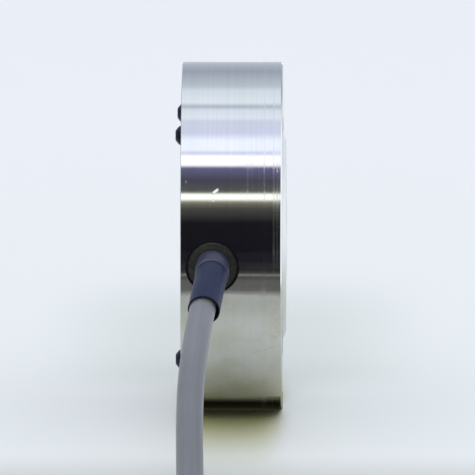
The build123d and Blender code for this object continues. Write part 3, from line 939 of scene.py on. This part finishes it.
([shrinkSleeve, sleeveLining, hankTies]
    + [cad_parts[n] for n in ("end_sleeve", "shield_drain", "core_tips")]
    + [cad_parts[f"lead_core_{c}"] for c in coreColours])

# Studio: pale table with painted shade and shadow round the cell, and a room whose light bands show only in
# reflections
rightWall = (1.5, 1.6, 1.76)
table = {
    "height": -40.0,
    "halfSize": 6000.0,
    "middle": -11.5,
    "cloudScale": 9.0,
    # painted shade round the cell: the table darker near it, paler far off
    "near": (0.85, 0.875, 0.855),
    "far": (0.9, 0.896, 0.912),
    "nearShadeReach": (30.0, 420.0),
    # painted shade on the table in front of the cell
    "front": (0.67, 0.685, 0.655),
    "frontFrom": (-52.0, -85.0),
    "frontReach": (220.0, 100.0),
    # painted shadow on the table behind the cell
    "behind": (0.72, 0.755, 0.73),
    "behindWidth": (52.0, 14.0),
    "behindFrom": (15.0, 45.0),
    "behindTo": (180.0, 100.0),
    "roughness": 0.45,
    "specular": 0.25,
    # painted olive shade beside the rim: reach and core, width and how fast it thins beyond it
    "oliveShade": (0.47, 0.47, 0.07),
    "oliveStrength": 0.7,
    "oliveReach": (78.0, 9.0),
    "oliveWidth": 5.0,
    "oliveThinning": 8.0,
    "oliveContact": (1.0, 12.0),
    # the same painted shade as the steel sees it
    "oliveSeen": (38.0, 3.0),
    "oliveSeenWidth": (30.0, 16.0),
    # past this edge in front, and this edge at the right, the steel sees a painted reflection of the room instead
    "edge": (92.0, 113.0),
    "rightEdge": (85.0, 135.0),
    "rightLevel": rightWall,
    # millimetres in front of the axis, then the level of what lies past the edge
    "beyond": (
        (88, (0.2, 0.2, 0.2)),
        (145, (0.17, 0.17, 0.18)),
        (157, (0.11, 0.11, 0.12)),
        (168, (0.12, 0.12, 0.12)),
        (173, (0.3, 0.3, 0.3)),
        (181, (0.3, 0.3, 0.3)),
        (188, (0.09, 0.09, 0.09)),
        (215, (0.04, 0.04, 0.04)),
        (300, (0.04, 0.04, 0.05)),
        (400, (0.02, 0.02, 0.03)),
    ),
    # painted contact shadow under the rim: millimetres from the axis, then the level that the steel sees there
    "contactShadow": (
        (0, (0.015, 0.015, 0.01)),
        (5, (0.035, 0.035, 0.02)),
        (10.5, (0.01, 0.01, 0.005)),
        (14, (0.005, 0.005, 0.003)),
        (15.5, (0.04, 0.04, 0.025)),
        (17.8, (0.2, 0.21, 0.14)),
    ),
    "contactLength": (18.2, 17.6),
    "contactLeft": (-23.0, -19.0),
    "contactRight": (4.0, -1.0),
}


def tableColour(graph, x, y, glossy):
    across = x - table["middle"] * mm
    away = (across * across + y * y).calc("SQRT")
    cloud = graph.noise(graph.place(), table["cloudScale"])
    # painted shade: darker near the cell
    far = (away.fade(*table["nearShadeReach"]) * 0.9 + cloud * 0.1).clamped()
    # painted shade in front of the cell
    front = y.fade(*table["frontFrom"]) * away.fade(*table["frontReach"])
    # painted shadow behind the cell
    behind = abs(across).fade(*table["behindWidth"]) * y.fade(*table["behindFrom"]) * y.fade(*table["behindTo"])
    colour = graph.mix(far, table["near"], table["far"])
    colour = graph.mix(front, colour, table["front"])
    colour = graph.mix(behind, colour, table["behind"])
    # painted olive shade round the cell; glossy rays see a narrower patch of it
    beside = (abs(across) - table["oliveWidth"] * mm).calc("MAXIMUM", 0.0) * table["oliveThinning"]
    ring = (beside * beside + y * y).calc("SQRT")
    seen = abs(y).fade(*table["oliveSeen"]) * abs(across).fade(*table["oliveSeenWidth"])
    oliveShade = ring.fade(*table["oliveReach"]) * (1.0 - glossy) + seen * glossy
    oliveShade = oliveShade * (abs(y).fade(*table["oliveContact"]) * 0.7 + 0.3).calc("MAXIMUM", glossy)
    return graph.mix(oliveShade * table["oliveStrength"], colour, table["oliveShade"])


def buildTable():
    size = table["halfSize"] * mm
    height = table["height"] * mm
    corners = [(-size, -size, height), (size, -size, height), (size, size, height), (-size, size, height)]
    mesh = bpy.data.meshes.new("tableTop")
    mesh.from_pydata(corners, [], [(0, 1, 2, 3)])
    tableTop = addObject("tableTop", mesh)
    material = bpy.data.materials.new("paleTable")
    material.use_nodes = True
    graph = Graph(material.node_tree)
    x, y, z = graph.axes(graph.place())
    glossy = graph.add("ShaderNodeLightPath", output="Is Glossy Ray")
    matt = {
        "Base Color": tableColour(graph, x, y, glossy),
        "Roughness": table["roughness"],
        "Specular IOR Level": table["specular"],
    }
    surface = graph.add("ShaderNodeBsdfPrincipled", None, matt)

    # painted reflections: what the polished rim sees instead of the table's own surface
    past = graph.ramp(y * (-1 / mm), table["beyond"])
    under = graph.ramp(abs(y) * (1 / mm), table["contactShadow"])
    beyond = y.fade(-table["edge"][0], -table["edge"][1])
    right = x.fade(*table["rightEdge"])
    # painted contact shadow under the rim, seen only by glossy rays
    contactShadow = x.fade(*table["contactLeft"]) * x.fade(*table["contactRight"])
    contactShadow = abs(y).fade(*table["contactLength"]) * contactShadow
    seen = graph.mix(contactShadow, graph.mix(right, past, table["rightLevel"]), under)
    shine = graph.add("ShaderNodeEmission", None, (seen, 1.0))
    share = glossy * (beyond + right + contactShadow).clamped()
    both = graph.add("ShaderNodeMixShader", None, (share, surface, shine))
    graph.add("ShaderNodeOutputMaterial", None, {"Surface": both})
    mesh.materials.append(material)


room = {
    # plain light on the table and the cell, at the horizon and overhead
    "horizonLight": (0.5, 0.49, 0.36),
    "topLight": (1.19, 1.235, 1.375),
    # degrees up from the front horizon, then the level of what the steel sees there: the dark front
    # with a narrow lamp in it, a broad lamp, the bright upper wall with two seams, and the wall behind
    "bands": (
        (-20, (0.01, 0.01, 0.02)),
        (19, (0.015, 0.015, 0.02)),
        (28, (0.1, 0.1, 0.1)),
        (31.5, (0.25, 0.25, 0.2)),
        (33, (0.5, 0.5, 0.4)),
        (34.5, (1.9, 1.9, 1.9)),
        (37.5, (1.9, 1.9, 1.9)),
        (38.8, (0.35, 0.4, 0.35)),
        (39.8, (0.15, 0.15, 0.15)),
        (47, (0.1, 0.1, 0.15)),
        (56, (0.2, 0.2, 0.4)),
        (58, (1.8, 1.8, 2.0)),
        (64, (1.9, 1.9, 2.1)),
        (66.5, (1.0, 1.05, 1.5)),
        (69, (1.5, 1.6, 1.9)),
        (76, (1.5, 1.6, 1.9)),
        (82, (1.05, 1.1, 1.5)),
        (92, (1.05, 1.1, 1.4)),
        (95, (1.25, 1.35, 1.6)),
        (102, (1.15, 1.25, 1.5)),
        (105.5, (0.7, 0.8, 0.95)),
        (109.5, (1.25, 1.35, 1.55)),
        (123, (1.05, 1.2, 1.4)),
        (128, (0.8, 0.9, 1.05)),
        (150, (0.5, 0.55, 0.7)),
        (178, (0.6, 0.7, 0.8)),
    ),
    # the side walls, and where the bands give way to them
    "leftLevel": (0.62, 0.64, 0.68),
    "rightLevel": rightWall,
    "sideFrom": (0.55, 0.85),
}


def buildRoom():
    world = bpy.data.worlds.new("room")
    bpy.context.scene.world = world
    world.use_nodes = True
    graph = Graph(world.node_tree)
    x, y, z = graph.axes(graph.add("ShaderNodeTexCoord", output="Generated"))
    angle = z.calc("ARCTAN2", y * -1.0) * (180 / pi)
    side = graph.mix(x.step(-0.1, 0.1), room["leftLevel"], room["rightLevel"])
    bands = graph.mix(abs(x).step(*room["sideFrom"]), graph.ramp(angle, room["bands"]), side)
    soft = graph.mix(z.clamped(), room["horizonLight"], room["topLight"])
    glossy = graph.add("ShaderNodeLightPath", output="Is Glossy Ray")
    light = graph.add("ShaderNodeBackground", None, (graph.mix(glossy, soft, bands), 1.0))
    graph.add("ShaderNodeOutputWorld", None, {"Surface": light})


# Front lamp, whose shadow's edge shows under the rim: degrees up, then metres and watts
lampLook = {"rise": 35.0, "distance": 1.2, "size": (0.5, 0.28), "power": 1.3}


def buildLamp():
    rise = radians(lampLook["rise"])
    towards = Vector((0.0, -cos(rise), sin(rise)))
    data = bpy.data.lights.new("frontLamp", "AREA")
    data.shape = "RECTANGLE"
    data.size, data.size_y = lampLook["size"]
    data.energy = lampLook["power"]
    lamp = addObject("frontLamp", data)
    lamp.location = towards * lampLook["distance"] + Vector((0.0, 0.0, table["height"] * mm))
    lamp.rotation_mode = "QUATERNION"
    lamp.rotation_quaternion = towards.to_track_quat("Z", "Y")
    lamp.visible_glossy = False


buildTable()
buildRoom()
buildLamp()

# Camera: nearly level and a little to the right, from far off; frame is the photo's width in pixels
view = {
    "aim": (-10.4, 0.0, -0.41),
    "azimuth": 0.57,
    "elevation": 10.4,
    "distance": 2.5,
    "pixelsPerMm": 4.35,
    "frame": 475,
    "sensorWidth": 36.0,
    "clip": (0.1, 30.0),
}


def buildCamera():
    azimuth, elevation = radians(view["azimuth"]), radians(view["elevation"])
    back = Vector((sin(azimuth) * cos(elevation), -cos(azimuth) * cos(elevation), sin(elevation)))
    data = bpy.data.cameras.new("studioCamera")
    camera = addObject("studioCamera", data)
    camera.location = Vector(view["aim"]) * mm + back * view["distance"]
    camera.rotation_mode = "QUATERNION"
    camera.rotation_quaternion = (-back).to_track_quat("-Z", "Y")
    data.sensor_width = view["sensorWidth"]
    data.lens = view["sensorWidth"] * view["pixelsPerMm"] * view["distance"] / mm / view["frame"]
    data.clip_start, data.clip_end = view["clip"]
    bpy.context.scene.camera = camera


buildCamera()
bpy.context.scene.view_settings.view_transform = "Standard"
print("load cell: studio ready")
